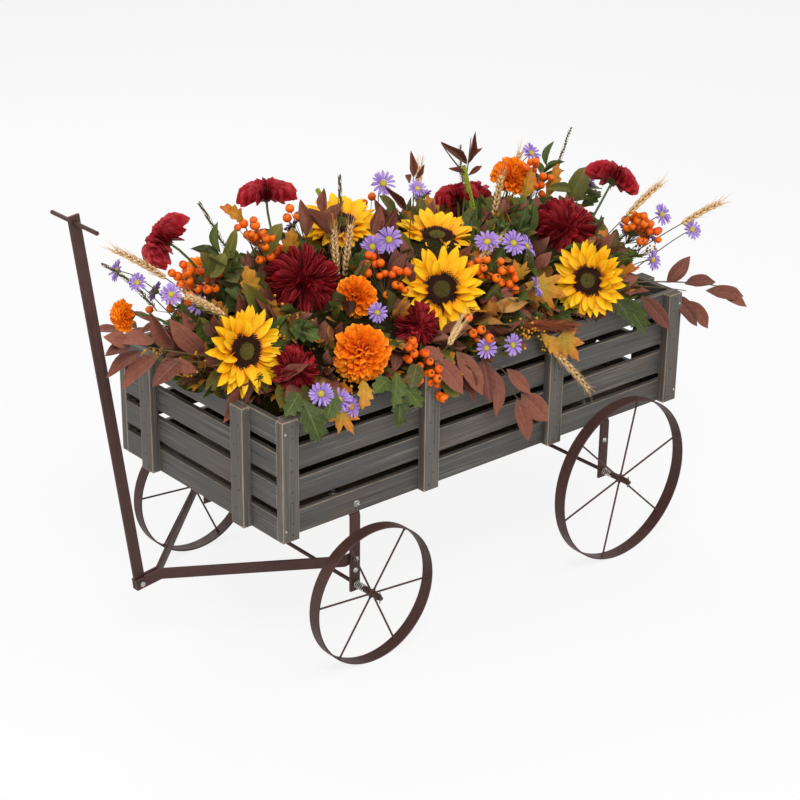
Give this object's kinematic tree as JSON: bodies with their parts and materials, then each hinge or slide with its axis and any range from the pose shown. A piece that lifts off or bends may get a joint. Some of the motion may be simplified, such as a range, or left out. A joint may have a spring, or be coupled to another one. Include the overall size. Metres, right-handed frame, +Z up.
{
  "type": "flower cart stand",
  "caption": "Slatted wooden crate on spoked metal wheels with a folding pull handle, filled with a lift-out autumn flower arrangement",
  "frame": {"origin": "middle of the cart's overall footprint, on the ground", "axes": "+Z up, +X along the crate away from the pull handle, +Y to the right of someone pulling the cart"},
  "size_m": [1.5756, 0.652, 0.9254],
  "materials": {
    "grey_wood": "matte",
    "floor_wood": "matte",
    "brown_iron": "satin",
    "zinc": "satin",
    "foam": "matte",
    "leaves": "matte",
    "reddish_leaves": "matte",
    "sun_yellow": "matte",
    "burgundy": "matte"
  },
  "bodies": {
    "cart": {"left_slat_1": "grey_wood", "left_slat_2": "grey_wood", "left_slat_3": "grey_wood", "left_slat_4": "grey_wood", "left_batten_1": "grey_wood", "left_batten_2": "grey_wood", "left_batten_3": "grey_wood", "left_batten_4": "grey_wood", "right_slat_1": "grey_wood", "right_slat_2": "grey_wood", "right_slat_3": "grey_wood", "right_slat_4": "grey_wood", "right_batten_1": "grey_wood", "right_batten_2": "grey_wood", "right_batten_3": "grey_wood", "right_batten_4": "grey_wood", "front_slat_1": "grey_wood", "front_slat_2": "grey_wood", "front_slat_3": "grey_wood", "front_slat_4": "grey_wood", "front_batten_1": "grey_wood", "front_batten_2": "grey_wood", "rear_slat_1": "grey_wood", "rear_slat_2": "grey_wood", "rear_slat_3": "grey_wood", "rear_slat_4": "grey_wood", "rear_batten_1": "grey_wood", "rear_batten_2": "grey_wood", "floor_board_1": "floor_wood", "floor_board_2": "floor_wood", "floor_board_3": "floor_wood", "front_bracket": "brown_iron", "front_axle": "brown_iron", "front_left_spring": "zinc", "front_right_spring": "zinc", "rear_bracket": "brown_iron", "rear_axle": "brown_iron", "rear_left_spring": "zinc", "rear_right_spring": "zinc", "tongue_left_bolt": "zinc", "tongue_right_bolt": "zinc"},
    "front_left_wheel": {"front_left_wheel": "brown_iron"},
    "front_right_wheel": {"front_right_wheel": "brown_iron"},
    "rear_left_wheel": {"rear_left_wheel": "brown_iron"},
    "rear_right_wheel": {"rear_right_wheel": "brown_iron"},
    "tongue": {"tongue_left_bar": "brown_iron", "tongue_right_bar": "brown_iron", "handle_bolt": "zinc"},
    "handle": {"handle_bar": "brown_iron", "handle_grip": "brown_iron"},
    "arrangement": {"foam_block": "foam", "foliage": "leaves", "front_spray": "reddish_leaves", "sunflower_1": "sun_yellow", "sunflower_2": "sun_yellow", "sunflower_3": "sun_yellow", "sunflower_4": "sun_yellow", "sunflower_5": "sun_yellow", "mum_1": "burgundy", "mum_2": "burgundy"}
  },
  "joints": [
    {"name": "front_left_spin", "type": "hinge", "parent": "cart", "child": "front_left_wheel", "pos_m": [-0.33718, -0.297, 0.143], "axis": [0, 1, 0], "continuous": true},
    {"name": "front_right_spin", "type": "hinge", "parent": "cart", "child": "front_right_wheel", "pos_m": [-0.33718, 0.297, 0.143], "axis": [0, 1, 0], "continuous": true},
    {"name": "rear_left_spin", "type": "hinge", "parent": "cart", "child": "rear_left_wheel", "pos_m": [0.34282, -0.297, 0.179], "axis": [0, 1, 0], "continuous": true},
    {"name": "rear_right_spin", "type": "hinge", "parent": "cart", "child": "rear_right_wheel", "pos_m": [0.34282, 0.297, 0.179], "axis": [0, 1, 0], "continuous": true},
    {"name": "tongue_pitch", "type": "hinge", "parent": "cart", "child": "tongue", "pos_m": [-0.33718, 0, 0.198], "axis": [0, 1, 0], "range_deg": [-24, 5]},
    {"name": "handle_pitch", "type": "hinge", "parent": "tongue", "child": "handle", "pos_m": [-0.67266, 0, 0.15681], "axis": [0, 1, 0], "range_deg": [-90, 10]},
    {"name": "arrangement_lift", "type": "slide", "parent": "cart", "child": "arrangement", "axis": [0, 0, 1], "range_m": [0, 0.3]}
  ]
}
